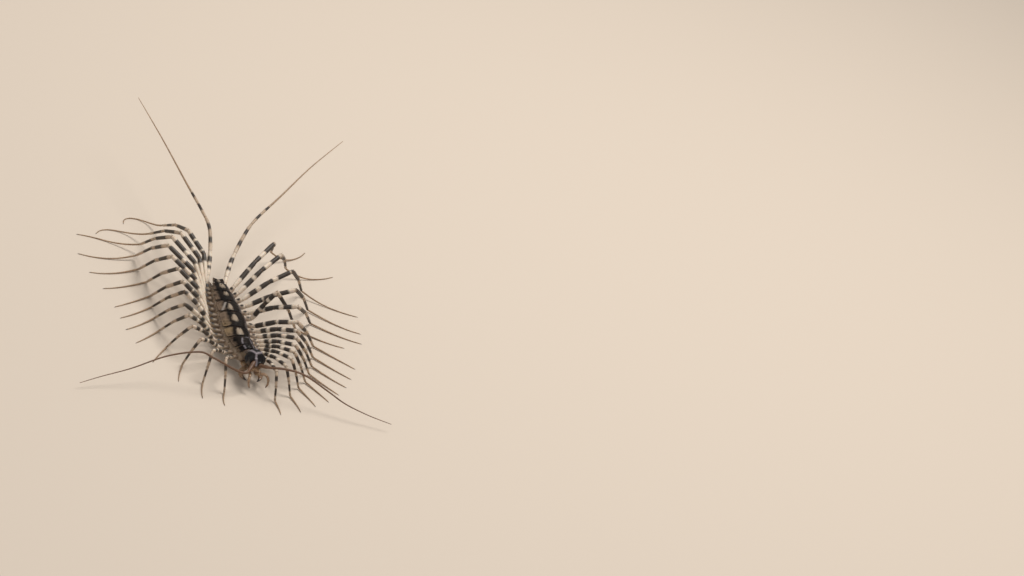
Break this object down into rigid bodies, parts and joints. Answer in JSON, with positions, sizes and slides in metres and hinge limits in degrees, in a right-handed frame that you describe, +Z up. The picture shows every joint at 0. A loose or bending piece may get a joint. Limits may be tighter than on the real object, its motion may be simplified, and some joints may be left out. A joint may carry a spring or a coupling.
{
  "type": "house centipede",
  "caption": "Life-size house centipede standing on the floor: long banded legs around a plated trunk, rear legs and feelers spread wide. A still model with no joints.",
  "frame": {"origin": "centre of the bounding box, on the floor", "axes": "-Y the way the head faces, +X towards the animal's left, +Z up from the floor"},
  "size_m": [0.0572, 0.0778, 0.0119],
  "materials": {
    "shell": "blue-black horny back plates with a pale saddle on each, over tan-brown flanks",
    "eye": "glossy black many-faceted eye",
    "feeler": "reddish-brown finely ringed feeler",
    "mouthparts": "orange-brown horn, darker at the points",
    "leg": "cream, slightly see-through horn with blackish bars and thin brown feet"
  },
  "bodies": {
    "root": {"head": "shell", "eye_left": "eye", "eye_right": "eye", "antenna_left": "feeler", "antenna_right": "feeler", "forcipule_left": "mouthparts", "forcipule_right": "mouthparts", "palp_left": "mouthparts", "palp_right": "mouthparts", "trunk_1": "shell", "trunk_2": "shell", "trunk_3": "shell", "trunk_4": "shell", "trunk_5": "shell", "trunk_6": "shell", "trunk_7": "shell", "tail": "shell", "leg_left_01": "leg", "leg_left_02": "leg", "leg_left_03": "leg", "leg_left_04": "leg", "leg_left_05": "leg", "leg_left_06": "leg", "leg_left_07": "leg", "leg_left_08": "leg", "leg_left_09": "leg", "leg_left_10": "leg", "leg_left_11": "leg", "leg_left_12": "leg", "leg_left_13": "leg", "leg_left_14": "leg", "leg_left_15": "leg", "leg_right_01": "leg", "leg_right_02": "leg", "leg_right_03": "leg", "leg_right_04": "leg", "leg_right_05": "leg", "leg_right_06": "leg", "leg_right_07": "leg", "leg_right_08": "leg", "leg_right_09": "leg", "leg_right_10": "leg", "leg_right_11": "leg", "leg_right_12": "leg", "leg_right_13": "leg", "leg_right_14": "leg", "leg_right_15": "leg"}
  },
  "joints": []
}
